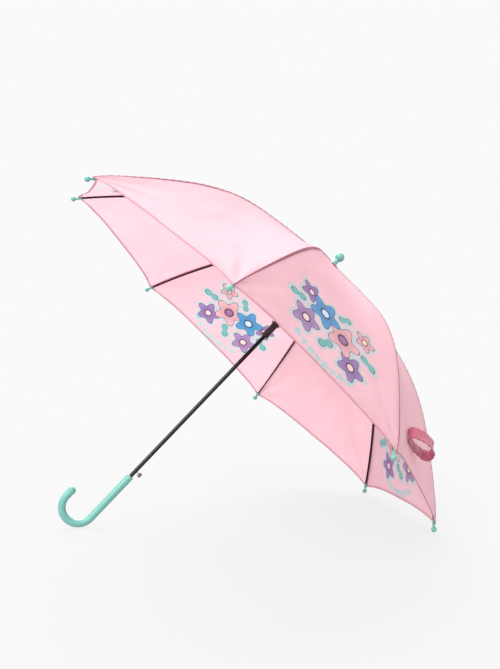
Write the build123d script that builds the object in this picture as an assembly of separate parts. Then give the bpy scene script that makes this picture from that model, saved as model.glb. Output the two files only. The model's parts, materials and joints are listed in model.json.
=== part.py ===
from build123d import *
import math
import os

# Children's stick umbrella with eight ribs, lying open on its crook and two rib tips.
# Every piece is drawn in the umbrella's own frame: z runs up the shaft to the ferrule,
# z = 0 is the plane of the rib tip balls, +x is the side that the crook curls towards.
# resting_place() then tilts the finished pieces onto the ground plane Z = 0.

# Driving dimensions, in millimetres and degrees
RIB_COUNT = 8
RIB_STEP = 360 / RIB_COUNT
HALF_STEP = RIB_STEP / 2

NOTCH_Z = 221.4
PIVOT_R = 8.0
START_DIP = 11.2
RIB_ARCS = ((3150.0, 3.06), (345.0, 23.4), (1010.0, 9.87))
RIB_WIDTH = 2.4
RIB_HEIGHT = 3.0
RIB_WEB = 0.5
RIB_WALL = 0.4
RIB_CLEARANCE = 0.1
CHANNEL_START = 4.2
TONGUE_LENGTH = 14.0
TONGUE_THICKNESS = 1.8
TONGUE_HEIGHT = 2.2
EYELET_R = 1.7
EYELET_HOLE_R = 0.75

JOINT_ARC_LENGTH = 228.0
JOINT_DROP = 4.5
EAR_THICKNESS = 0.4
EAR_LENGTH = 9.0
EAR_GAP = RIB_WIDTH + 0.04
EAR_ROUNDING = 1.2
RIVET_R = 0.65
RIVET_HEAD_R = 1.3
RIVET_HEAD_HEIGHT = 0.6

STRETCHER_SIZE = 2.4
STRETCHER_WALL = 0.45

TIP_REACH = 8.0
TIP_BALL_R = 4.6
TIP_NECK_R = 1.7
TIP_SLEEVE_R = 2.4
TIP_SLEEVE_LENGTH = 10.5
TIP_SOCKET_DEPTH = 8.0
TIP_CHAMFER = 0.8

SHAFT_R = 3.5
SHAFT_BORE_R = 2.9
SHAFT_TOP_Z = NOTCH_Z + 3.6
SHAFT_FOOT_Z = -345.0

CROWN_R = 9.4
CROWN_HALF_HEIGHT = 2.8
SLOT_WIDTH = 2.2
SLOT_FLOOR_R = 5.8
WIRE_R = 0.6
WIRE_CLEARANCE = 0.02
NOTCH_COLLAR_R = 5.5
NOTCH_COLLAR_LENGTH = 7.0

RUNNER_BORE_R = 3.6
RUNNER_SLEEVE_R = 6.0
RUNNER_FOOT_Z = 48.0
RUNNER_COLLAR_R = 6.7
RUNNER_COLLAR_HEIGHT = 5.0
RUNNER_FLANGE_R = 8.75
RUNNER_FLANGE_Z = 76.0
RUNNER_FLANGE_HEIGHT = 2.0

HANDLE_R = 6.5
HANDLE_TOP_Z = -284.2
HANDLE_STRAIGHT = 96.0
CROOK_BEND_R = 28.0
CROOK_END = 12.0
CROOK_KNOB_R = 7.0
HANDLE_ROUNDING = 2.0

FERRULE_FOOT_R = 7.0
FERRULE_NECK_R = 4.6
FERRULE_NECK_Z = 232.5
FERRULE_BALL_R = 8.2
FERRULE_BALL_Z = 244.0
FERRULE_STUD_LENGTH = 15.0
FERRULE_STUD_R = SHAFT_BORE_R - 0.05
FERRULE_RIM_HEIGHT = 0.8
FERRULE_FLARE_RISE = 3.4
FERRULE_FLARE_OUT = 0.7

BUTTON_Z = -272.7
BUTTON_LENGTH = 7.8
BUTTON_WIDTH = 6.4
BUTTON_THICKNESS = 5.4
BUTTON_OFFSET = 10.2
BUTTON_STEM_R = 1.5
BUTTON_STEM_END = 1.5
BUTTON_HOLE_R = 1.7
BUTTON_ROUNDING = 1.6

CLOTH_THICKNESS = 0.45
CLOTH_GAP = 1.3
CLOTH_START = 3.0
CLOTH_SAG = 7.0
HEM_SCALLOP = 11.0
SEAM_GAP = 0.1
CLOTH_STATIONS = 7
ROSETTE_R = 13.5
ROSETTE_THICKNESS = 0.6
ROSETTE_Z = NOTCH_Z + RIB_HEIGHT / 2 + CLOTH_GAP + CLOTH_THICKNESS + 0.3
FERRULE_FOOT_Z = ROSETTE_Z + ROSETTE_THICKNESS + 0.1

STRAP_WIDTH = 14.0
STRAP_THICKNESS = 1.2
STRAP_PANEL = 3
STRAP_ALONG = 0.885
STRAP_ACROSS = 0.48
STRAP_LIFT = 0.9
STRAP_BEND_R = 4.5
STRAP_LOOP = ((0, 0), (-7, 13), (2, 28), (24, 36), (48, 34), (64, 23), (57, 10), (28, 3))

SPRING_R = 2.2
SPRING_WIRE_R = 0.35
SPRING_PITCH = 9.0
SPRING_LENGTH = 144.0
SPRING_FOOT_Z = -110.0


def polar(radius, angle):
    """Point in the x-y plane at an angle in degrees."""
    turn = math.radians(angle)
    return radius * math.cos(turn), radius * math.sin(turn)


def rib_state(length):
    """Radius, height and dip angle on the rib's centreline at an arc length from its pivot."""
    radius = PIVOT_R
    height = NOTCH_Z
    dip = math.radians(START_DIP)
    for bend, sweep in RIB_ARCS:
        full = math.radians(sweep)
        turn = length / bend
        if bend != RIB_ARCS[-1][0]:
            turn = min(turn, full)
        radius += bend * (math.sin(dip + turn) - math.sin(dip))
        height -= bend * (math.cos(dip) - math.cos(dip + turn))
        dip += turn
        length -= bend * turn
        if length < 1e-9:
            break
    return radius, height, dip


RIB_LENGTH = sum(bend * math.radians(sweep) for bend, sweep in RIB_ARCS)


def rib_point(length, offset=0.0):
    """Point (radius, height) at an arc length, offset outwards from the centreline."""
    radius, height, dip = rib_state(length)
    return radius + offset * math.sin(dip), height + offset * math.cos(dip)


# The linkage: rib joint and runner pivot stand on an isosceles triangle below the notch pivot.
JOINT_R, JOINT_Z = rib_point(JOINT_ARC_LENGTH, -JOINT_DROP)
RUNNER_PIVOT_Z = 2 * JOINT_Z - NOTCH_Z
STRETCHER_LENGTH = math.hypot(JOINT_R - PIVOT_R, JOINT_Z - RUNNER_PIVOT_Z)
STRETCHER_RISE = math.degrees(math.atan2(JOINT_Z - RUNNER_PIVOT_Z, JOINT_R - PIVOT_R))

END_R, END_Z, END_DIP = rib_state(RIB_LENGTH)
BALL_R = END_R + TIP_REACH * math.cos(END_DIP)
BALL_Z = END_Z - TIP_REACH * math.sin(END_DIP)

# The lie on the ground: two tip balls and the crook's bend touch Z = 0.
CROOK_Z = HANDLE_TOP_Z - HANDLE_STRAIGHT
LOW_TIP_X = BALL_R * math.cos(math.radians(HALF_STEP))
LEAN_X = LOW_TIP_X + CROOK_BEND_R
LEAN_Z = BALL_Z - CROOK_Z
LEAN = math.acos((CROOK_BEND_R + HANDLE_R - TIP_BALL_R) / math.hypot(LEAN_X, LEAN_Z))
LEAN -= math.atan2(LEAN_Z, LEAN_X)
UP = (-math.sin(LEAN), 0, math.cos(LEAN))
ALONG = (math.cos(LEAN), 0, math.sin(LEAN))
GROUND_LIFT = LOW_TIP_X * UP[2] - BALL_Z * ALONG[2] + TIP_BALL_R
LIE = Plane(origin=(0, 0, GROUND_LIFT), x_dir=UP, z_dir=ALONG).location


def rib_angle(index):
    """Azimuth of rib 1 to 8, counted from the crook's side."""
    return HALF_STEP + RIB_STEP * (index - 1)


def turn_to(angle, piece):
    return Rot(0, 0, angle) * piece


def plate(face, thickness):
    """Extrude a face drawn in the radius-height plane equally to both sides."""
    return extrude(face, amount=thickness / 2, both=True)


def rib_band(low, high, start):
    """Face between two curves parallel to the rib's centreline, in the x-z plane."""
    edges = []
    for offset in (low, high):
        run = start
        reached = 0.0
        for bend, sweep in RIB_ARCS:
            reached += bend * math.radians(sweep)
            middle = (run + reached) / 2
            marks = [rib_point(mark, offset) for mark in (run, middle, reached)]
            edges.append(ThreePointArc(*[(r, 0, z) for r, z in marks]))
            run = reached
    for length in (start, RIB_LENGTH):
        ends = [rib_point(length, offset) for offset in (low, high)]
        edges.append(Line(*[(r, 0, z) for r, z in ends]))
    return make_face(Wire(edges))


def disc(radius, x, z, thickness):
    """Disc standing in the rib's plane, its axis across the rib."""
    return Pos(x, 0, z) * Rot(90, 0, 0) * Cylinder(radius, thickness)


def tongue():
    """Flat eyelet end that turns on the wire ring, drawn from the origin along +x."""
    bar = Pos(TONGUE_LENGTH / 2, 0, 0) * Box(TONGUE_LENGTH, TONGUE_THICKNESS, TONGUE_HEIGHT)
    eyelet = bar + disc(EYELET_R, 0, 0, TONGUE_THICKNESS)
    return eyelet - disc(EYELET_HOLE_R, 0, 0, 3 * TONGUE_THICKNESS)


def rib():
    """Channel rib with its eyelet end, in the x-z plane."""
    half = RIB_HEIGHT / 2
    body = plate(rib_band(-half, half, CHANNEL_START), RIB_WIDTH)
    groove = plate(rib_band(-2 * half, half - RIB_WEB, 0), RIB_WIDTH - 2 * RIB_WALL)
    return body - groove + Pos(PIVOT_R, 0, NOTCH_Z) * Rot(0, START_DIP, 0) * tongue()


def rib_joint():
    """Folded bracket with its rivet, which hangs the stretcher under the rib."""
    depth = JOINT_DROP + EYELET_R
    height = depth + RIB_HEIGHT / 2
    outer = Box(EAR_LENGTH, EAR_GAP + 2 * EAR_THICKNESS, height)
    outer = Pos(0, 0, RIB_HEIGHT / 2 - EAR_THICKNESS / 2 - height / 2) * outer
    inner = Pos(0, 0, -depth / 2) * Box(2 * EAR_LENGTH, EAR_GAP, 4 * depth)
    ears = fillet((outer - inner).edges().filter_by(Axis.Y), EAR_ROUNDING)
    rivet = Pos(0, 0, -JOINT_DROP) * Rot(90, 0, 0) * Cylinder(RIVET_R, EAR_GAP + EAR_THICKNESS)
    head_y = EAR_GAP / 2 + EAR_THICKNESS + RIVET_HEAD_HEIGHT / 3
    for side in (-1, 1):
        head = Rot(90, 0, 0) * Cylinder(RIVET_HEAD_R, RIVET_HEAD_HEIGHT)
        rivet += Pos(0, side * head_y, -JOINT_DROP) * head
    radius, height, dip = rib_state(JOINT_ARC_LENGTH)
    return Pos(radius, 0, height) * Rot(0, math.degrees(dip), 0) * (ears + rivet)


def stretcher():
    """Straight channel strut from the runner's ring to the rib joint."""
    length = STRETCHER_LENGTH - 2 * CHANNEL_START
    body = Box(length, STRETCHER_SIZE, STRETCHER_SIZE)
    groove = Box(length + 2, STRETCHER_SIZE - 2 * STRETCHER_WALL, STRETCHER_SIZE)
    body -= Pos(0, 0, -STRETCHER_WALL) * groove
    strut = Pos(STRETCHER_LENGTH / 2, 0, 0) * body + tongue()
    strut += Pos(STRETCHER_LENGTH, 0, 0) * Rot(0, 0, 180) * tongue()
    return Pos(PIVOT_R, 0, RUNNER_PIVOT_Z) * Rot(0, -STRETCHER_RISE, 0) * strut


def rib_tip():
    """Moulded tip: sleeve over the rib's end, short neck and ball, along the rib's end."""
    sleeve = Cylinder(TIP_SLEEVE_R, TIP_SLEEVE_LENGTH)
    sleeve = chamfer(sleeve.edges().group_by(Axis.Z)[-1], TIP_CHAMFER)
    sleeve = Pos(0, 0, TIP_SLEEVE_LENGTH / 2 - TIP_SOCKET_DEPTH) * sleeve
    sleeve -= Pos(0, 0, -TIP_SOCKET_DEPTH / 2) * Box(
        RIB_HEIGHT + RIB_CLEARANCE, RIB_WIDTH + RIB_CLEARANCE, TIP_SOCKET_DEPTH
    )
    neck = Pos(0, 0, TIP_REACH / 2) * Cylinder(TIP_NECK_R, TIP_REACH)
    tip = sleeve + neck + Pos(0, 0, TIP_REACH) * Sphere(TIP_BALL_R)
    return Pos(END_R, 0, END_Z) * Rot(0, 90 + math.degrees(END_DIP), 0) * tip


def ring_of_slots(height):
    """Eight radial slots and the wire's groove, to be cut from a crown."""
    reach = 2 * CROWN_R
    slot = Pos(SLOT_FLOOR_R + reach / 2, 0, height)
    slot = slot * Box(reach, SLOT_WIDTH, 4 * CROWN_HALF_HEIGHT)
    cut = Pos(0, 0, height) * Torus(PIVOT_R, WIRE_R + WIRE_CLEARANCE)
    for index in range(1, RIB_COUNT + 1):
        cut += turn_to(rib_angle(index), slot)
    return cut


def crown(height):
    return Pos(0, 0, height) * Cylinder(CROWN_R, 2 * CROWN_HALF_HEIGHT)


def tube(outer, inner, low, high):
    ring = Cylinder(outer, high - low) - Cylinder(inner, 2 * (high - low))
    return Pos(0, 0, (low + high) / 2) * ring


def top_notch():
    low = NOTCH_Z - CROWN_HALF_HEIGHT - NOTCH_COLLAR_LENGTH
    solid = crown(NOTCH_Z)
    solid += tube(NOTCH_COLLAR_R, SHAFT_R, low, NOTCH_Z)
    solid -= Pos(0, 0, NOTCH_Z) * Cylinder(SHAFT_R, 4 * NOTCH_COLLAR_LENGTH)
    return solid - ring_of_slots(NOTCH_Z)


def runner():
    top = RUNNER_PIVOT_Z
    solid = tube(RUNNER_SLEEVE_R, RUNNER_BORE_R, RUNNER_FOOT_Z, top)
    collar_top = RUNNER_FOOT_Z + RUNNER_COLLAR_HEIGHT
    collar = tube(RUNNER_COLLAR_R, RUNNER_BORE_R, RUNNER_FOOT_Z, collar_top)
    flange_top = RUNNER_FLANGE_Z + RUNNER_FLANGE_HEIGHT
    flange = tube(RUNNER_FLANGE_R, RUNNER_BORE_R, RUNNER_FLANGE_Z, flange_top)
    solid += collar + flange + crown(top)
    solid -= Pos(0, 0, top) * Cylinder(RUNNER_BORE_R, 4 * CROWN_HALF_HEIGHT)
    return solid - ring_of_slots(top)


def wire_ring(height):
    return Pos(0, 0, height) * Torus(PIVOT_R, WIRE_R)


def shaft_tube():
    solid = tube(SHAFT_R, SHAFT_BORE_R, SHAFT_FOOT_Z, SHAFT_TOP_Z)
    hole = Pos(-SHAFT_R, 0, BUTTON_Z) * Rot(0, 90, 0) * Cylinder(BUTTON_HOLE_R, 2 * SHAFT_R)
    return solid - hole


def handle_crook():
    straight = Cylinder(HANDLE_R, HANDLE_STRAIGHT)
    straight = fillet(straight.edges().group_by(Axis.Z)[-1], HANDLE_ROUNDING)
    straight = Pos(0, 0, HANDLE_TOP_Z - HANDLE_STRAIGHT / 2) * straight
    section = Pos(0, 0, CROOK_Z) * Circle(HANDLE_R)
    bend_axis = Axis((CROOK_BEND_R, 0, CROOK_Z), (0, -1, 0))
    bend = revolve(section, bend_axis, 180)
    end = Pos(2 * CROOK_BEND_R, 0, CROOK_Z + CROOK_END / 2) * Cylinder(HANDLE_R, CROOK_END)
    knob = Pos(2 * CROOK_BEND_R, 0, CROOK_Z + CROOK_END) * Sphere(CROOK_KNOB_R)
    bore_top = HANDLE_TOP_Z - SHAFT_FOOT_Z + 1
    bore = Pos(0, 0, SHAFT_FOOT_Z + bore_top / 2) * Cylinder(SHAFT_R, bore_top)
    return straight + bend + end + knob - bore


def ferrule():
    """Turned cap: foot, waist and ball, with a stud down the shaft's bore."""
    foot = (FERRULE_FOOT_R, 0, FERRULE_FOOT_Z)
    rim = (FERRULE_FOOT_R, 0, FERRULE_FOOT_Z + FERRULE_RIM_HEIGHT)
    waist = (FERRULE_NECK_R, 0, FERRULE_NECK_Z)
    meet = FERRULE_BALL_Z - math.sqrt(FERRULE_BALL_R**2 - FERRULE_NECK_R**2)
    bend = (FERRULE_NECK_R + FERRULE_FLARE_OUT, 0, FERRULE_FOOT_Z + FERRULE_FLARE_RISE)
    flare = ThreePointArc(rim, bend, waist)
    top = (0, 0, FERRULE_BALL_Z + FERRULE_BALL_R)
    cheek = (FERRULE_BALL_R, 0, FERRULE_BALL_Z)
    outline = Wire([
        Line((0, 0, FERRULE_FOOT_Z), foot),
        Line(foot, rim),
        flare,
        Line(waist, (FERRULE_NECK_R, 0, meet)),
        ThreePointArc((FERRULE_NECK_R, 0, meet), cheek, top),
        Line(top, (0, 0, FERRULE_FOOT_Z)),
    ])
    cap = revolve(make_face(outline), Axis.Z, 360)
    stud_low = FERRULE_FOOT_Z - FERRULE_STUD_LENGTH
    stud = Pos(0, 0, (stud_low + FERRULE_FOOT_Z) / 2)
    return cap + stud * Cylinder(FERRULE_STUD_R, FERRULE_STUD_LENGTH)


def canopy_rosette():
    return tube(ROSETTE_R, SHAFT_R + 0.1, ROSETTE_Z, ROSETTE_Z + ROSETTE_THICKNESS)


def release_button():
    block = Box(BUTTON_THICKNESS, BUTTON_WIDTH, BUTTON_LENGTH)
    return Pos(-BUTTON_OFFSET, 0, BUTTON_Z) * fillet(block.edges(), BUTTON_ROUNDING)


def button_stem():
    outer = BUTTON_OFFSET - BUTTON_THICKNESS / 2
    length = outer - BUTTON_STEM_END
    stem = Rot(0, 90, 0) * Cylinder(BUTTON_STEM_R, length)
    return Pos(-(outer + BUTTON_STEM_END) / 2, 0, BUTTON_Z) * stem


def opening_spring():
    """Long coil inside the shaft that drives the runner up when the button is pressed."""
    coil = Helix(SPRING_PITCH, SPRING_LENGTH, SPRING_R)
    section = Plane(origin=coil @ 0, z_dir=coil % 0) * Circle(SPRING_WIRE_R)
    return Pos(0, 0, SPRING_FOOT_Z) * sweep(section, path=coil, is_frenet=True)


def cloth_point(along, offset):
    """Rib-side point of the cloth in the x-z plane, along = 0 at the notch to 1 at the hem."""
    length = CLOTH_START + along * (RIB_LENGTH - CLOTH_START)
    return rib_point(length, RIB_HEIGHT / 2 + CLOTH_GAP + offset)


def middle_point(along, offset):
    """The same at the panel's middle, where the cloth spans flat, sags and is cut shorter."""
    full = RIB_LENGTH - CLOTH_START
    length = CLOTH_START + along * (full - HEM_SCALLOP)
    sag = CLOTH_SAG * 4 * along * (1 - along)
    radius, height = rib_point(length, RIB_HEIGHT / 2 + CLOTH_GAP + offset - sag)
    return radius * math.cos(math.radians(HALF_STEP)), height


def cloth_section(point, angle, shift):
    """Thin face across the cloth in the plane at an azimuth, shifted sideways."""
    faces = []
    for offset in (0.0, CLOTH_THICKNESS):
        marks = [point(step / (CLOTH_STATIONS - 1), offset) for step in range(CLOTH_STATIONS)]
        faces.append([(radius, shift, height) for radius, height in marks])
    under, over = faces
    outline = Wire([
        Spline(*under),
        Line(under[-1], over[-1]),
        Spline(*over),
        Line(under[0], over[0]),
    ])
    return turn_to(angle, make_face(outline))


def half_panel(side):
    """Half of a gore beside the rib at azimuth 0: side = +1 to its left, -1 to its right."""
    seam = cloth_section(cloth_point, 0, side * SEAM_GAP)
    fold = cloth_section(middle_point, side * HALF_STEP, -side * SEAM_GAP)
    return loft([seam, fold], ruled=True)


def over_cloth(along, across):
    """Point on the outside of a left half panel, across = 0 at its rib to 1 at its fold."""
    radius, height = cloth_point(along, CLOTH_THICKNESS)
    fold_radius, fold_height = middle_point(along, CLOTH_THICKNESS)
    seam = Vector(radius, 0, height)
    fold = Vector(*polar(fold_radius, HALF_STEP), fold_height)
    return seam + (fold - seam) * across


def closing_strap():
    """Ribbon sewn into a loop: it stands off its gore and leans over towards the fold."""
    base = over_cloth(STRAP_ALONG, STRAP_ACROSS)
    ribwards = over_cloth(STRAP_ALONG + 0.05, STRAP_ACROSS) - base
    across = over_cloth(STRAP_ALONG, 1) - base
    outwards = ribwards.cross(across).normalized()
    if outwards.Z < 0:
        outwards = -outwards
    seat = Plane(origin=base + outwards * STRAP_LIFT, x_dir=across, z_dir=across.cross(outwards))
    outline = make_face(FilletPolyline(*STRAP_LOOP, radius=STRAP_BEND_R, close=True))
    band = outline - offset(outline, -STRAP_THICKNESS)
    return seat.location * extrude(band, amount=STRAP_WIDTH / 2, both=True)


def pieces():
    """Every piece by name, in the umbrella's own frame."""
    one_rib = rib()
    one_joint = rib_joint()
    one_stretcher = stretcher()
    one_tip = rib_tip()
    left_half = half_panel(1)
    right_half = half_panel(-1)
    made = {}
    for index in range(1, RIB_COUNT + 1):
        angle = rib_angle(index)
        before = (index - 2) % RIB_COUNT + 1
        made[f"rib_{index}"] = turn_to(angle, one_rib)
        made[f"rib_joint_{index}"] = turn_to(angle, one_joint)
        made[f"stretcher_{index}"] = turn_to(angle, one_stretcher)
        made[f"rib_tip_{index}"] = turn_to(angle, one_tip)
        made[f"panel_{index}_left"] = turn_to(angle, left_half)
        made[f"panel_{before}_right"] = turn_to(angle, right_half)
    made["closing_strap"] = turn_to(rib_angle(STRAP_PANEL), closing_strap())
    made["shaft_tube"] = shaft_tube()
    made["handle_crook"] = handle_crook()
    made["ferrule"] = ferrule()
    made["top_notch"] = top_notch()
    made["notch_wire"] = wire_ring(NOTCH_Z)
    made["canopy_rosette"] = canopy_rosette()
    made["runner"] = runner()
    made["runner_wire"] = wire_ring(RUNNER_PIVOT_Z)
    made["release_button"] = release_button()
    made["button_stem"] = button_stem()
    made["opening_spring"] = opening_spring()
    return made


def resting_place(made):
    """Placement that lays the umbrella on the ground with its box centred on X = 0."""
    boxes = [(LIE * piece).bounding_box() for piece in made.values()]
    middle = (min(box.min.X for box in boxes) + max(box.max.X for box in boxes)) / 2
    return Pos(-middle, 0, 0) * LIE


def main():
    os.makedirs("parts", exist_ok=True)
    made = pieces()
    place = resting_place(made)
    for name, piece in made.items():
        placed = place * piece
        placed.label = name
        export_step(placed, os.path.join("parts", name + ".step"))


if __name__ == "__main__":
    main()
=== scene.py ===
import json
import math
import bpy
import numpy as np
from mathutils import Matrix, Vector, noise


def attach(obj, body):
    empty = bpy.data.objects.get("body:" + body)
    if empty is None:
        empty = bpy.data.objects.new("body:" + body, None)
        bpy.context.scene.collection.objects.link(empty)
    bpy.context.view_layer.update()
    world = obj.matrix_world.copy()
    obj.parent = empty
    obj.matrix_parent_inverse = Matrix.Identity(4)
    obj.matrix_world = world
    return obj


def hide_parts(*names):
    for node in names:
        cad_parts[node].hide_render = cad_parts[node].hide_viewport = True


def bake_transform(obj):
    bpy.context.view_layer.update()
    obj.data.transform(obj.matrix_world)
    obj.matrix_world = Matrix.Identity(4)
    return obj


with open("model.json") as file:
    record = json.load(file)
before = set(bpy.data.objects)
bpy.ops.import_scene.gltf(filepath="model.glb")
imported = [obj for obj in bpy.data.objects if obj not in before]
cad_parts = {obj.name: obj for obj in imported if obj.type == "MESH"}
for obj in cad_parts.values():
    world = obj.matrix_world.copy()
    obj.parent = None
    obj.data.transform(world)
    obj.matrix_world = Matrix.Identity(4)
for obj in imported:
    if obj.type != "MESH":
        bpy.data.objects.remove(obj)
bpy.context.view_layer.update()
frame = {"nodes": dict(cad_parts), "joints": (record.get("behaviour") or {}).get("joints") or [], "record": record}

# Driving sizes, in metres and degrees. The rib's dip and arcs repeat the CAD model's. The cloth's
# rise, start, sag and scallop differ from the CAD's by half a millimetre at most, but its hem and
# sag curve between the seam and the fold, where the CAD's cloth spans straight.
RIB_COUNT = 8
STEP = math.radians(360 / RIB_COUNT)
START_DIP = 11.2
# bend radius and sweep of each stretch of a rib, from the notch outwards
RIB_ARCS = ((3.15, 3.06), (0.345, 23.4), (1.01, 9.87))
RIB_LENGTH = sum(bend * math.radians(sweep) for bend, sweep in RIB_ARCS)
CLOTH_RISE = 0.0027
CLOTH_START = 0.0028
CLOTH_SAG = 0.0075
HEM_SCALLOP = 0.0115
HEM_WIDTH = 0.0042
# the turned hem's rows: how far back from the edge, and how far under the cloth
HEM_ROWS = ((0.0, 0.0004), (0.0008, 0.0008), (0.5 * HEM_WIDTH, 0.0009), (HEM_WIDTH, 0.0006))
GORE_ROWS = 96
GORE_COLUMNS = 30
ROW_CROWDING = 0.92
# columns laid close together beside the seam, and the most of a narrow gore that they take up
SEAM_STEPS = (0.0, 0.0007, 0.0014, 0.0022, 0.003, 0.0039, 0.0048, 0.0058)
SEAM_SHARE_MAX = 0.45
SEAM_TAPE = 0.0048
SEAM_TAPE_ENDS = 0.0018
THIN_SEAM = 0.0009
SEAM_RISE = 0.0009

CAMERA_AZIMUTH = 13.644
CAMERA_PITCH = -2.42
CAMERA_ROLL = 0.2
CAMERA_LENS = 53.49
CAMERA_PLACE = (-0.3833, -1.6793, 0.3958)


# ---------------------------------------------------------------- the umbrella's own axes
joints = {j["name"]: j for j in frame["joints"]}
fold_names = ["canopy_fold"] + [f"rib_{k}_fold" for k in range(2, RIB_COUNT + 1)]
pivots = np.array([joints[name]["pos_m"] for name in fold_names])
swings = np.array([joints[f"stretcher_{k}_swing"]["pos_m"] for k in range(1, RIB_COUNT + 1)])
notch = pivots.mean(axis=0)
shaft_axis = notch - swings.mean(axis=0)
shaft_axis /= np.linalg.norm(shaft_axis)
PIVOT_R = np.linalg.norm(pivots - notch, axis=1).mean()
spokes = (pivots - notch) / PIVOT_R


def rib_state(length):
    """Radius, drop below the notch and dip angle at arc lengths along a rib, as arrays."""
    left = np.array(length, float)
    radius = np.full(left.shape, PIVOT_R)
    drop = np.zeros(left.shape)
    dip = np.full(left.shape, math.radians(START_DIP))
    for index, (bend, sweep) in enumerate(RIB_ARCS):
        turn = left / bend
        if index < len(RIB_ARCS) - 1:
            turn = np.minimum(turn, math.radians(sweep))
        turn = np.maximum(turn, 0)
        radius += bend * (np.sin(dip + turn) - np.sin(dip))
        drop += bend * (np.cos(dip) - np.cos(dip + turn))
        dip += turn
        left -= bend * turn
    return radius, drop, dip


def smooth_noise(points, size):
    return np.array([noise.noise(Vector(p / size)) for p in points.reshape(-1, 3)]).reshape(
        points.shape[:-1]
    )


# ---------------------------------------------------------------- mesh helpers
def new_mesh(name, points, faces, smooth=True):
    mesh = bpy.data.meshes.new(name)
    mesh.from_pydata([tuple(map(float, p)) for p in points], [], faces)
    mesh.update()
    if smooth:
        mesh.polygons.foreach_set("use_smooth", [True] * len(mesh.polygons))
    obj = bpy.data.objects.new(name, mesh)
    bpy.context.scene.collection.objects.link(obj)
    return obj


def grid_faces(rows, columns, closed=False, flip=False):
    """Quads of a grid, row by row. A closed grid is a torus: it wraps round both ways."""
    faces = []
    spare = 0 if closed else 1
    for i in range(rows - spare):
        for j in range(columns - spare):
            right = (j + 1) % columns
            below = (i + 1) % rows
            face = tuple(r * columns + c for r, c in ((i, j), (i, right), (below, right), (below, j)))
            faces.append(face[::-1] if flip else face)
    return faces


def add_uv(obj, name, values):
    """A UV map from one (u, v) pair per vertex."""
    layer = obj.data.uv_layers.new(name=name)
    corners = np.zeros(len(obj.data.loops), int)
    obj.data.loops.foreach_get("vertex_index", corners)
    layer.data.foreach_set("uv", np.asarray(values, float)[corners].astype(np.float32).ravel())


# ---------------------------------------------------------------- materials
class Shader:
    """Small helper that builds a material's node tree."""

    def __init__(self, name):
        self.material = bpy.data.materials.new(name)
        self.material.use_nodes = True
        self.tree = self.material.node_tree
        self.tree.nodes.clear()
        self.output = self.node("ShaderNodeOutputMaterial")

    def node(self, kind, **settings):
        made = self.tree.nodes.new(kind)
        for key, value in settings.items():
            setattr(made, key, value)
        return made

    def put(self, socket, value):
        if isinstance(value, bpy.types.NodeSocket):
            self.tree.links.new(value, socket)
        else:
            socket.default_value = value

    def math(self, operation, *values, clamp=False):
        made = self.node("ShaderNodeMath", operation=operation, use_clamp=clamp)
        for index, value in enumerate(values):
            self.put(made.inputs[index], value)
        return made.outputs[0]

    def ramp(self, value, low, high, start=0.0, end=1.0):
        made = self.node("ShaderNodeMapRange", interpolation_type="SMOOTHSTEP")
        for index, item in enumerate((value, low, high, start, end)):
            self.put(made.inputs[index], item)
        return made.outputs[0]

    def mix(self, share, under, over, blend="MIX"):
        made = self.node("ShaderNodeMix", data_type="RGBA", blend_type=blend)
        self.put(made.inputs["Factor"], share)
        self.put(made.inputs["A"], under)
        self.put(made.inputs["B"], over)
        return made.outputs["Result"]

    def noise(self, vector, scale, detail=3.0, rough=0.5):
        made = self.node("ShaderNodeTexNoise")
        self.put(made.inputs["Vector"], vector)
        made.inputs["Scale"].default_value = scale
        made.inputs["Detail"].default_value = detail
        made.inputs["Roughness"].default_value = rough
        return made.outputs["Fac"]

    def uv(self, name):
        return self.node("ShaderNodeUVMap", uv_map=name).outputs[0]

    def place(self):
        return self.node("ShaderNodeTexCoord").outputs["Object"]

    def bump(self, height, distance, strength=1.0, below=None):
        made = self.node("ShaderNodeBump")
        made.inputs["Strength"].default_value = strength
        made.inputs["Distance"].default_value = distance
        self.put(made.inputs["Height"], height)
        if below is not None:
            self.put(made.inputs["Normal"], below)
        return made.outputs[0]

    def principled(self, **values):
        made = self.node("ShaderNodeBsdfPrincipled")
        for key, value in values.items():
            self.put(made.inputs[key.replace("_", " ")], value)
        return made

    def finish(self, shader):
        self.tree.links.new(shader.outputs[0], self.output.inputs["Surface"])
        return self.material


def rgb(red, green, blue):
    """Linear colour from display values of 0 to 255."""
    linear = [((c / 255 + 0.055) / 1.055) ** 2.4 for c in (red, green, blue)]
    return (*linear, 1.0)


CLOTH_PINK = rgb(234, 187, 197)
CLOTH_SHADE = rgb(228, 180, 190)
CLOTH_TONE = rgb(234, 188, 197)
SHEEN_PINK = rgb(255, 208, 222)
# dark rose: painted shade where the felled seams and the hem's edge lie double, and the colour of the hem's
# stitching thread
SEAM_SHADE_AND_THREAD_ROSE = rgb(160, 74, 102)
HALO_AQUA = rgb(150, 200, 202)
INK = rgb(62, 44, 70)

# The print on every other gore: flowers as (across, along, radius, spin, petal, heart) in metres.
FLOWERS = (
    (-0.060, 0.345, 0.021, 0.2, rgb(152, 120, 172), rgb(232, 202, 196)),
    (0.055, 0.335, 0.020, 0.9, rgb(222, 164, 170), rgb(236, 214, 186)),
    (-0.051, 0.408, 0.027, 0.5, rgb(166, 132, 178), rgb(232, 202, 196)),
    (0.046, 0.419, 0.027, 0.1, rgb(154, 122, 174), rgb(232, 200, 190)),
    (0.019, 0.377, 0.034, 0.7, rgb(224, 170, 176), rgb(150, 108, 152)),
    (-0.025, 0.360, 0.032, 0.0, rgb(84, 148, 198), rgb(190, 214, 232)),
)
LEAVES = (
    (-0.078, 0.378, 0.015, 0.6),
    (0.072, 0.377, 0.016, -0.5),
    (0.010, 0.330, 0.014, 1.5),
    (-0.006, 0.420, 0.016, 1.7),
)
LEAF_GREEN = rgb(110, 176, 172)
PETALS, PETAL_DEPTH = 5, 0.2
LEAF_LOBES, LEAF_DEPTH = 2, 0.42
GARLAND_LENGTH = 0.462
GARLAND_SAG = 0.25
GARLAND_REACH = 0.05
SMALL_DOT, LARGE_DOT = 0.0072, 0.0092
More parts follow.
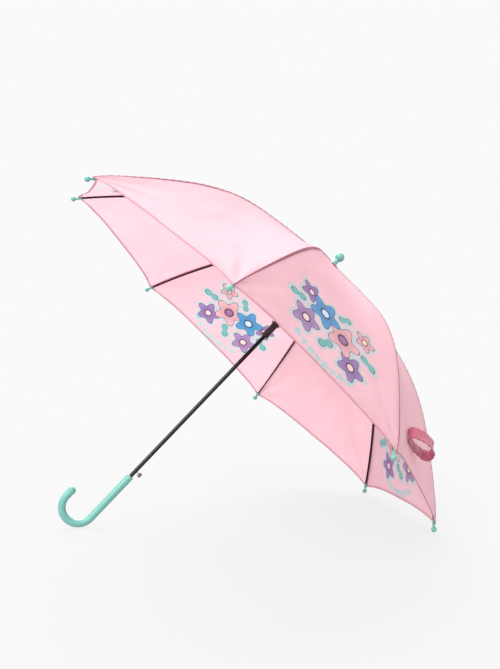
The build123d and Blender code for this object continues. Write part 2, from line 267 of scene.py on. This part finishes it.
GARLAND_DOTS = tuple((-0.052 + 0.0148 * n, SMALL_DOT if n % 2 else LARGE_DOT) for n in range(8))
# soft edges of the print, as distances outside its shapes where a colour is absent and is full
HALO_EDGE = (0.0078, 0.0066)
RING_PLACE, RING_EDGE = 0.0042, (0.0011, 0.0004)
LEAF_OUTLINE, LEAF_FILL = (0.0006, -0.0002), (-0.0006, -0.0016)
PETAL_OUTLINE, PETAL_FILL = (0.0009, 0.0), (-0.0005, -0.0014)
DOT_EDGE = (0.0005, -0.0005)
# and as shares of a flower's radius
PETAL_SHADE, HEART_OUTLINE, HEART_FILL = (0.25, 0.95), (0.34, 0.29), (0.26, 0.2)


def polar_shape(s, point, centre, radius, spin, lobes, depth):
    """Signed distance to a rounded shape with lobes, and the distance from its centre."""
    from_centre = s.node("ShaderNodeVectorMath", operation="SUBTRACT")
    s.put(from_centre.inputs[0], point)
    from_centre.inputs[1].default_value = (*centre, 0)
    length = s.node("ShaderNodeVectorMath", operation="LENGTH")
    s.put(length.inputs[0], from_centre.outputs[0])
    split = s.node("ShaderNodeSeparateXYZ")
    s.put(split.inputs[0], from_centre.outputs[0])
    angle = s.math("ARCTAN2", split.outputs["Y"], split.outputs["X"])
    wave = s.math("COSINE", s.math("MULTIPLY_ADD", angle, float(lobes), spin))
    rim = s.math("MULTIPLY_ADD", wave, radius * depth, radius * (1 - depth))
    return s.math("SUBTRACT", length.outputs["Value"], rim), length.outputs["Value"]


def printed(s, point, under):
    """The generic flower print over the cloth colour: aqua halo, outlines, petals and a garland."""
    wobble = s.math("MULTIPLY_ADD", s.noise(point, 90.0), 0.006, -0.003)
    flowers = [polar_shape(s, point, f[:2], f[2], f[3], PETALS, PETAL_DEPTH) for f in FLOWERS]
    leaves = [polar_shape(s, point, f[:2], f[2], f[3], LEAF_LOBES, LEAF_DEPTH) for f in LEAVES]
    nearest = flowers[0][0]
    for shape, _ in flowers[1:] + leaves:
        nearest = s.math("MINIMUM", nearest, shape)
    halo = s.ramp(s.math("ADD", nearest, wobble), *HALO_EDGE)
    colour = s.mix(s.math("MULTIPLY", halo, 0.75), under, HALO_AQUA)
    ring = s.ramp(s.math("ABSOLUTE", s.math("SUBTRACT", nearest, RING_PLACE)), *RING_EDGE)
    colour = s.mix(s.math("MULTIPLY", ring, 0.7), colour, CLOTH_PINK)
    for shape, _ in leaves:
        colour = s.mix(s.ramp(shape, *LEAF_OUTLINE), colour, INK)
        colour = s.mix(s.ramp(shape, *LEAF_FILL), colour, LEAF_GREEN)
    for (shape, reach), (_, _, radius, _, petal, heart) in zip(flowers, FLOWERS):
        colour = s.mix(s.ramp(shape, *PETAL_OUTLINE), colour, INK)
        shade = s.ramp(reach, *(radius * share for share in PETAL_SHADE))
        fill = s.mix(shade, tuple(0.8 * c for c in petal[:3]) + (1,), petal)
        colour = s.mix(s.ramp(shape, *PETAL_FILL), colour, fill)
        colour = s.mix(s.ramp(reach, *(radius * share for share in HEART_OUTLINE)), colour, INK)
        colour = s.mix(s.ramp(reach, *(radius * share for share in HEART_FILL)), colour, heart)
    for across, radius in GARLAND_DOTS:
        along = GARLAND_LENGTH - GARLAND_SAG * across * across / GARLAND_REACH
        lobes = 3 if radius == SMALL_DOT else 5
        dot, _ = polar_shape(s, point, (across, along), radius, 1.57, lobes, 0.24)
        colour = s.mix(s.math("MULTIPLY", s.ramp(dot, *DOT_EDGE), 0.8), colour, HALO_AQUA)
    return colour


THREAD_PITCH = 0.0007
STITCH_PITCH = 0.0032
STITCH_INSET = 0.0012
LIGHT_THROUGH = 0.42


def cloth_material(name, with_print):
    """Thin woven polyester: light comes through it, with sewn seams and a stitched hem, and painted shade where
    the seams and the hem's edge lie double.
    """
    s = Shader(name)
    point = s.uv("gore")
    edges = s.node("ShaderNodeSeparateXYZ")
    s.put(edges.inputs[0], s.uv("edges"))
    seam, hem = edges.outputs["X"], edges.outputs["Y"]
    place = s.place()
    tone = s.noise(place, 9.0, 4.0, 0.6)
    colour = s.mix(s.ramp(tone, 0.3, 0.7), CLOTH_SHADE, CLOTH_TONE)
    if with_print:
        colour = printed(s, point, colour)
    # painted shade of the felled seam's doubled cloth beside the rib and of the hem line's doubled edge, and the
    # hem's row of stitches
    colour = s.mix(s.ramp(seam, SEAM_TAPE, SEAM_TAPE - 0.0006, 0.0, 0.85), colour, SEAM_SHADE_AND_THREAD_ROSE)
    colour = s.mix(s.ramp(hem, 0.0015, 0.0007, 0.0, 0.42), colour, SEAM_SHADE_AND_THREAD_ROSE)
    across = s.node("ShaderNodeSeparateXYZ")
    s.put(across.inputs[0], point)
    dash = s.math("SINE", s.math("MULTIPLY", across.outputs["X"], 2 * math.pi / STITCH_PITCH))
    line = s.ramp(s.math("ABSOLUTE", s.math("SUBTRACT", hem, HEM_WIDTH - STITCH_INSET)), 0.0005, 0.0002)
    stitch = s.math("MULTIPLY", line, s.ramp(dash, -0.2, 0.2))
    colour = s.mix(s.math("MULTIPLY", stitch, 0.55), colour, SEAM_SHADE_AND_THREAD_ROSE)
    # weave and slight creasing
    warp = s.math("SINE", s.math("MULTIPLY", across.outputs["X"], 2 * math.pi / THREAD_PITCH))
    weft = s.math("SINE", s.math("MULTIPLY", across.outputs["Y"], 2 * math.pi / THREAD_PITCH))
    weave = s.math("MULTIPLY", warp, weft)
    crease = s.bump(s.noise(place, 26.0, 3.0, 0.55), 0.0022, 0.3)
    normal = s.bump(weave, 0.00012, 0.35, crease)
    skin = s.principled(
        Base_Color=colour,
        Roughness=0.62,
        Sheen_Weight=0.35,
        Sheen_Roughness=0.4,
        Sheen_Tint=SHEEN_PINK,
        Specular_IOR_Level=0.25,
        Normal=normal,
    )
    through = s.node("ShaderNodeBsdfTranslucent")
    s.put(through.inputs["Color"], colour)
    s.put(through.inputs["Normal"], normal)
    both = s.node("ShaderNodeMixShader")
    both.inputs[0].default_value = LIGHT_THROUGH
    s.tree.links.new(skin.outputs[0], both.inputs[1])
    s.tree.links.new(through.outputs[0], both.inputs[2])
    return s.finish(both)


def ribbon_material():
    s = Shader("strap_ribbon")
    place = s.place()
    cells = s.node("ShaderNodeSeparateXYZ")
    s.put(cells.inputs[0], s.uv("ribbon"))
    warp = s.math("SINE", s.math("MULTIPLY", cells.outputs["X"], 2 * math.pi / 0.0009))
    weft = s.math("SINE", s.math("MULTIPLY", cells.outputs["Y"], 2 * math.pi / 0.0012))
    weave = s.math("MULTIPLY", warp, weft)
    # painted shade: the ribbon is darker towards both its edges
    edge = s.ramp(s.math("ABSOLUTE", cells.outputs["Y"]), 0.0082, 0.0092)
    tone = s.mix(s.noise(place, 60.0), rgb(180, 84, 108), rgb(196, 100, 122))
    colour = s.mix(s.math("MULTIPLY", edge, 0.6), tone, rgb(146, 66, 90))
    normal = s.bump(weave, 0.0002, 0.5, s.bump(s.noise(place, 90.0), 0.0008, 0.3))
    return s.finish(s.principled(
        Base_Color=colour, Roughness=0.55, Sheen_Weight=0.4, Sheen_Roughness=0.35, Normal=normal
    ))


def plain_material(name, colour, rough, speckle=0.0, grain=400.0, depth=0.0001, **more):
    """Moulded, painted or bare surface with slight colour, gloss and surface variation."""
    s = Shader(name)
    place = s.place()
    fine = s.noise(place, grain, 4.0, 0.6)
    broad = s.noise(place, 35.0, 2.0, 0.5)
    dark = tuple(c * (1 - speckle) for c in colour[:3]) + (1,)
    tone = s.mix(s.ramp(broad, 0.3, 0.7), dark, colour)
    gloss = s.ramp(fine, 0.2, 0.8, rough * 0.85, rough * 1.2)
    normal = s.bump(fine, depth, 0.3)
    return s.finish(s.principled(Base_Color=tone, Roughness=gloss, Normal=normal, **more))


MINT = plain_material("mint_plastic", rgb(106, 168, 159), 0.36, 0.05, 120.0, 0.00001)
BLACK_RIB = plain_material("black_rib", rgb(30, 22, 28), 0.45, 0.2, 500.0, Specular_IOR_Level=0.2)
BLACK_SHAFT = plain_material("black_shaft", rgb(12, 11, 12), 0.16, 0.15, 200.0, Specular_IOR_Level=0.3)
BLACK_PLASTIC = plain_material("black_plastic", rgb(34, 32, 36), 0.33, 0.15, 500.0)
STEEL = plain_material("bare_steel", rgb(176, 176, 180), 0.32, 0.12, 700.0, Metallic=1.0)
CHROME = plain_material("bright_steel", rgb(215, 215, 220), 0.12, 0.04, 700.0, Metallic=1.0)
BUTTON = plain_material("button_plastic", rgb(92, 82, 86), 0.42, 0.15, 900.0)
CLOTH = cloth_material("canopy_cloth", False)
CLOTH_PRINT = cloth_material("canopy_cloth_print", True)
RIBBON = ribbon_material()


# ---------------------------------------------------------------- the canopy
def hem_cut(across):
    """Share of the scallop cut from the hem: pointed at the seams, nearly straight between."""
    return 1 - (1 - across) ** 3


def gore_surface(rib, other, along, across, inwards=0.0):
    """Points of a half gore beside a rib. along: 0 at the notch to 1 at the hem;
    across: 0 at the rib's seam to 1 at the gore's middle line."""
    bow = across * (2 - across)
    length = CLOTH_START + along * (RIB_LENGTH - CLOTH_START - HEM_SCALLOP * hem_cut(across))
    radius, drop, dip = rib_state(length)
    radial = (1 - across / 2)[..., None] * spokes[rib] + (across / 2)[..., None] * spokes[other]
    reach = radius[..., None] * radial
    outward = radial / np.linalg.norm(radial, axis=-1, keepdims=True)
    normal = np.sin(dip)[..., None] * outward + np.cos(dip)[..., None] * shaft_axis
    lift = CLOTH_RISE - CLOTH_SAG * 4 * along * (1 - along) * bow - inwards
    return notch + reach - drop[..., None] * shaft_axis + lift[..., None] * normal, normal, length


# heights of the ripples, and the distances over which they fade or repeat
PULL_HEIGHT, PULL_FADE, PULL_START = 0.0026, 0.085, 0.02
PULL_LOBES, PULL_PHASE = 9, 0.6
PUCKER_HEIGHT, PUCKER_FADE, PUCKER_PITCH = 0.0004, 0.007, 0.013
BROAD_SLACK, BROAD_SLACK_SIZE = 0.0013, 0.055
FINE_SLACK, FINE_SLACK_SIZE = 0.0005, 0.021
WELT_EDGE, WELT_HEM_FADE = 0.0009, 0.02
POCKET_HEIGHT, POCKET_HALF_WIDTH, POCKET_START, POCKET_END = 0.0009, 0.006, 0.004, 0.012
FOLD_CALM = 0.15


def gore_wrinkles(points, along, across, to_seam, to_hem, tape):
    """Height of the cloth's ripples: pulls from the tip, puckers along the seam, slack,
    the felled seam's welt and the pocket sewn over the tip's sleeve."""
    from_tip = np.hypot(to_seam, to_hem)
    bearing = np.arctan2(to_seam, to_hem + 1e-6)
    pull = PULL_HEIGHT * np.exp(-from_tip / PULL_FADE) * np.clip(from_tip / PULL_START - 0.3, 0, 1)
    ripple = pull * np.sin(PULL_LOBES * bearing + PULL_PHASE)
    pucker = PUCKER_HEIGHT * np.exp(-to_seam / PUCKER_FADE) * np.sin(2 * math.pi * to_hem / PUCKER_PITCH)
    slack = BROAD_SLACK * smooth_noise(points, BROAD_SLACK_SIZE)
    slack = slack + FINE_SLACK * smooth_noise(points, FINE_SLACK_SIZE)
    welt = SEAM_RISE * np.clip((tape - to_seam) / WELT_EDGE, 0, 1)
    welt = welt * np.clip(to_hem / WELT_HEM_FADE, 0.1, 1)
    pocket = POCKET_HEIGHT * np.exp(-((to_seam / POCKET_HALF_WIDTH) ** 2))
    pocket = pocket * np.clip(to_hem / POCKET_START, 0, 1) * np.clip(1.6 - to_hem / POCKET_END, 0, 1)
    calm = np.clip(across * 8, 0, 1)
    edge = np.clip(along * 12, 0, 1)
    fold = np.clip((1 - across) / FOLD_CALM, 0, 1)
    loose = ripple * (1 - across) + pucker + slack * (0.4 + 0.6 * calm) * fold
    return edge * loose + welt + pocket


def column_places(half_width):
    """Share across the half gore of each column, row by row: close together beside the seam."""
    seam_share = np.minimum(SEAM_STEPS[-1] / half_width, SEAM_SHARE_MAX)
    across = np.zeros_like(half_width)
    narrow = len(SEAM_STEPS)
    for column in range(GORE_COLUMNS):
        if column < narrow:
            across[:, column] = seam_share[:, column] * SEAM_STEPS[column] / SEAM_STEPS[-1]
        else:
            spread = (column - narrow + 1) / (GORE_COLUMNS - narrow)
            across[:, column] = seam_share[:, column] + (1 - seam_share[:, column]) * spread
    return across


def half_gore(number, side):
    """One half of gore 1 to 8, on the rib's side that it is sewn to."""
    left = side == "left"
    rib = number - 1 if left else number % RIB_COUNT
    other = number % RIB_COUNT if left else number - 1
    share = np.linspace(0, 1, GORE_ROWS) ** ROW_CROWDING
    under = [1 - back / RIB_LENGTH for back, _ in HEM_ROWS]
    along = np.concatenate([share, under])[:, None] * np.ones((1, GORE_COLUMNS))
    depth = np.concatenate([np.zeros(GORE_ROWS), [inwards for _, inwards in HEM_ROWS]])
    depth = depth[:, None] * np.ones((1, GORE_COLUMNS))
    half_width = rib_state(CLOTH_START + along * (RIB_LENGTH - CLOTH_START))[0] * math.sin(STEP / 2)
    across = column_places(half_width)
    points, normal, length = gore_surface(rib, other, along, across, depth)
    to_seam = across * half_width
    tape = np.full(along.shape, THIN_SEAM)
    if left:
        tape = SEAM_TAPE_ENDS + (SEAM_TAPE - SEAM_TAPE_ENDS) * np.sin(math.pi * along.clip(0, 1))
    to_hem = np.abs(RIB_LENGTH - HEM_SCALLOP * hem_cut(across) - length)
    height = gore_wrinkles(points, along, across, to_seam, to_hem, tape)
    points = points + height[..., None] * normal
    faces = grid_faces(len(along), GORE_COLUMNS, flip=left)
    obj = new_mesh(f"gore_{number}_{side}", points.reshape(-1, 3), faces)
    sign = -1.0 if left else 1.0
    gore = np.stack([sign * (half_width - to_seam), length], axis=-1)
    add_uv(obj, "gore", gore.reshape(-1, 2))
    edges = np.stack([to_seam + SEAM_TAPE - tape, to_hem], axis=-1)
    add_uv(obj, "edges", edges.reshape(-1, 2))
    obj.data.materials.append(CLOTH if number % 2 else CLOTH_PRINT)
    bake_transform(obj)
    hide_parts(f"panel_{number}_{side}")
    return obj


for number in range(1, RIB_COUNT + 1):
    for side in ("left", "right"):
        half_gore(number, side)


# ---------------------------------------------------------------- the closing strap
STRAP_GORE = 3
STRAP_ALONG = 0.885
STRAP_ACROSS = 0.48
HEMWARD_STEP = 0.05
STRAP_WIDTH = 0.0195
STRAP_THICKNESS = 0.0011
STRAP_STATIONS = 132
STRAP_COLUMNS = 9
STRAP_CUP = 0.0012
# height and pitch of the ribbon's long and short creases
LONG_CREASE, LONG_CREASE_PITCH = 0.0005, 0.031
SHORT_CREASE, SHORT_CREASE_PITCH = 0.0004, 0.0117
CREASE_FADE = 0.02
# the ribbon's middle line in millimetres: across the gore, out from it and towards the hem;
# this is not the CAD strap's path, and the ribbon is wider than that strap
STRAP_PATH = (
    (3, 1.2, 0), (-4, 6, 0), (-4, 13, 0), (7, 22, -0.5), (23, 29, -1), (42, 33, -1), (57, 30.5, -0.5),
    (65, 23, 0), (61, 14.5, 0), (47, 8, 0), (28, 3.5, 0), (12, 1.8, 0),
)


def ring_through(points, count):
    """Smooth closed curve through the points (Catmull-Rom), sampled evenly in length."""
    marks = np.array(points, float)
    before, after, next_after = (np.roll(marks, shift, axis=0) for shift in (1, -1, -2))
    t = np.linspace(0, 1, 24, endpoint=False)[:, None, None]
    curve = 0.5 * (
        2 * marks + (after - before) * t + (2 * before - 5 * marks + 4 * after - next_after) * t**2
        + (3 * marks - before - 3 * after + next_after) * t**3
    )
    curve = curve.transpose(1, 0, 2).reshape(-1, 3)
    closed = np.vstack([curve, curve[:1]])
    run = np.concatenate([[0], np.cumsum(np.linalg.norm(np.diff(closed, axis=0), axis=1))])
    even = np.linspace(0, run[-1], count, endpoint=False)
    return np.stack([np.interp(even, run, closed[:, i]) for i in range(3)], axis=1), run[-1]


def unit(vectors):
    return vectors / np.linalg.norm(vectors, axis=-1, keepdims=True)


def closing_strap():
    """A ribbon folded into a loop, sewn to its gore by both ends, which sags towards the hem."""
    rib, other = STRAP_GORE - 1, STRAP_GORE
    alongs = np.array([STRAP_ALONG, STRAP_ALONG + HEMWARD_STEP, STRAP_ALONG])
    sides = np.array([STRAP_ACROSS, STRAP_ACROSS, 1.0])
    base, hemward, fold = gore_surface(rib, other, alongs, sides)[0]
    hemward = unit(hemward - base)
    side = unit(fold - base)
    out = unit(np.cross(side, hemward))
    out *= np.sign(out @ shaft_axis)
    side = np.cross(hemward, out) * np.sign(np.cross(hemward, out) @ side)
    path, length = ring_through(np.array(STRAP_PATH) / 1000, STRAP_STATIONS)
    line = base + path[:, :1] * side + path[:, 1:2] * out + path[:, 2:] * hemward
    tangent = unit(np.roll(line, -1, axis=0) - np.roll(line, 1, axis=0))
    width = unit(hemward - (tangent @ hemward)[:, None] * tangent)
    face = np.cross(tangent, width)
    run = np.arange(STRAP_STATIONS) * length / STRAP_STATIONS
    free = np.clip(np.minimum(run, length - run) / CREASE_FADE, 0, 1)
    width_marks = np.linspace(-0.5, 0.5, STRAP_COLUMNS)
    long = np.sin(np.outer(run, [2 * math.pi / LONG_CREASE_PITCH]) + 5 * width_marks)
    short = np.sin(np.outer(run, [2 * math.pi / SHORT_CREASE_PITCH]) - 8 * width_marks)
    crease = LONG_CREASE * long + SHORT_CREASE * short
    cup = STRAP_CUP * (1 - 4 * width_marks**2) + free[:, None] * crease
    rows = []
    for sign, order in ((1, slice(None)), (-1, slice(None, None, -1))):
        lift = (cup + sign * STRAP_THICKNESS / 2)[:, order]
        marks = width_marks[order] * STRAP_WIDTH
        rows.append(line[:, None] + marks[None, :, None] * width[:, None] + lift[..., None] * face[:, None])
    section = np.concatenate(rows, axis=1)
    faces = grid_faces(STRAP_STATIONS, 2 * STRAP_COLUMNS, closed=True)
    obj = new_mesh("closing_strap_ribbon", section.reshape(-1, 3), faces)
    across = np.concatenate([width_marks, width_marks[::-1]]) * STRAP_WIDTH
    uv = np.stack(np.broadcast_arrays(run[:, None], across[None]), axis=-1)
    add_uv(obj, "ribbon", uv.reshape(-1, 2))
    obj.data.materials.append(RIBBON)
    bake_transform(obj)
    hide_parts("closing_strap")


closing_strap()


# ---------------------------------------------------------------- the rosette under the ferrule
ROSETTE_R = 0.0135
ROSETTE_HOLE_R = 0.0036
ROSETTE_RISE = 0.0036
ROSETTE_THICKNESS = 0.0005
ROSETTE_TURNS = 128
# radius and rise of the rings on its underside, from the hole outwards
ROSETTE_RINGS = (
    (ROSETTE_HOLE_R, 0.0), (0.007, 0.0), (0.0105, 0.0), (0.0125, 0.0), (ROSETTE_R, -0.0002),
)
PINKING_START, PINKING_DEPTH, PINKING_COUNT = 0.012, 0.0003, 32


def rosette():
    """Round cloth washer with a pinked edge that covers the gores' points."""
    centre = notch + ROSETTE_RISE * shaft_axis
    first = unit(np.cross(shaft_axis, [0, 1, 0]))
    second = np.cross(shaft_axis, first)
    upper = tuple((radius, rise + ROSETTE_THICKNESS) for radius, rise in ROSETTE_RINGS[::-1])
    rings = ROSETTE_RINGS + upper
    points = []
    for radius, rise in rings:
        for step in range(ROSETTE_TURNS):
            angle = 2 * math.pi * step / ROSETTE_TURNS
            pink = PINKING_DEPTH * math.cos(PINKING_COUNT * angle) if radius > PINKING_START else 0.0
            spoke = math.cos(angle) * first + math.sin(angle) * second
            points.append(centre + (radius + pink) * spoke + rise * shaft_axis)
    obj = new_mesh("rosette_cloth", points, grid_faces(len(rings), ROSETTE_TURNS, closed=True))
    add_uv(obj, "gore", [(math.hypot(*p), 0.2) for p in (np.array(points) - centre)[:, :2]])
    add_uv(obj, "edges", [(0.05, 0.05)] * len(points))
    obj.data.materials.append(CLOTH)
    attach(obj, "root")
    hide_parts("canopy_rosette")


rosette()


# ---------------------------------------------------------------- CAD nodes' finishes
FINISHES = {
    "mint_plastic": MINT,
    "black_rib_steel": BLACK_RIB,
    "black_shaft": BLACK_SHAFT,
    "black_plastic": BLACK_PLASTIC,
    "bare_steel": STEEL,
    "bright_steel": CHROME,
    "button_plastic": BUTTON,
    "strap_ribbon": RIBBON,
    "canopy_cloth": CLOTH,
}
for part in frame["record"]["subparts"]:
    obj = frame["nodes"][part["node"]]
    if not obj.hide_render:
        obj.data.materials.clear()
        obj.data.materials.append(FINISHES[part["material_slot"]])


# ---------------------------------------------------------------- studio
BACKDROP = 0.956
SUNS = (((0.0, 0.74, 0.67), 4.3), ((-0.53, -0.53, 0.67), 3.0))
SUN_SPREAD = 38.0
SHADOW_SHARE = 0.17
FLOOR_REACH = 12.0
SENSOR_WIDTH = 36.0


def floor():
    """White floor lit partly from within, as on a light table, so that shadows stay faint."""
    corners = ((-1, -1), (1, -1), (1, 1), (-1, 1))
    points = [(FLOOR_REACH * x, FLOOR_REACH * y, 0) for x, y in corners]
    obj = new_mesh("studio_floor", points, [(0, 1, 2, 3)])
    s = Shader("studio_paper")
    fall = sum(power * toward[2] / math.hypot(*toward) for toward, power in SUNS) / math.pi
    paper = BACKDROP * SHADOW_SHARE / (BACKDROP + fall)
    obj.data.materials.append(s.finish(s.principled(
        Base_Color=(paper, paper, paper, 1),
        Roughness=1.0,
        Specular_IOR_Level=0.0,
        Emission_Color=(1, 1, 1, 1),
        Emission_Strength=BACKDROP * (1 - SHADOW_SHARE),
    )))


def sun(name, toward, power):
    lamp = bpy.data.lights.new(name, "SUN")
    lamp.energy = power
    lamp.angle = math.radians(SUN_SPREAD)
    obj = bpy.data.objects.new(name, lamp)
    obj.rotation_euler = Vector(toward).to_track_quat("Z", "Y").to_euler()
    bpy.context.scene.collection.objects.link(obj)


def studio():
    floor()
    world = bpy.data.worlds.new("studio")
    world.use_nodes = True
    world.node_tree.nodes["Background"].inputs["Color"].default_value = (1.0, 1.0, 1.0, 1)
    world.node_tree.nodes["Background"].inputs["Strength"].default_value = BACKDROP
    bpy.context.scene.world = world
    for index, (toward, power) in enumerate(SUNS):
        sun(f"soft_sun_{index + 1}", toward, power)
    bpy.context.scene.view_settings.view_transform = "Standard"


def camera():
    lens = bpy.data.cameras.new("camera")
    lens.lens = CAMERA_LENS
    lens.sensor_width = SENSOR_WIDTH
    obj = bpy.data.objects.new("camera", lens)
    turn = Matrix.Rotation(math.radians(-CAMERA_AZIMUTH), 4, "Z")
    tilt = Matrix.Rotation(math.radians(90 + CAMERA_PITCH), 4, "X")
    roll = Matrix.Rotation(math.radians(CAMERA_ROLL), 4, "Z")
    obj.matrix_world = Matrix.Translation(CAMERA_PLACE) @ turn @ tilt @ roll
    bpy.context.scene.collection.objects.link(obj)
    bpy.context.scene.camera = obj


studio()
camera()
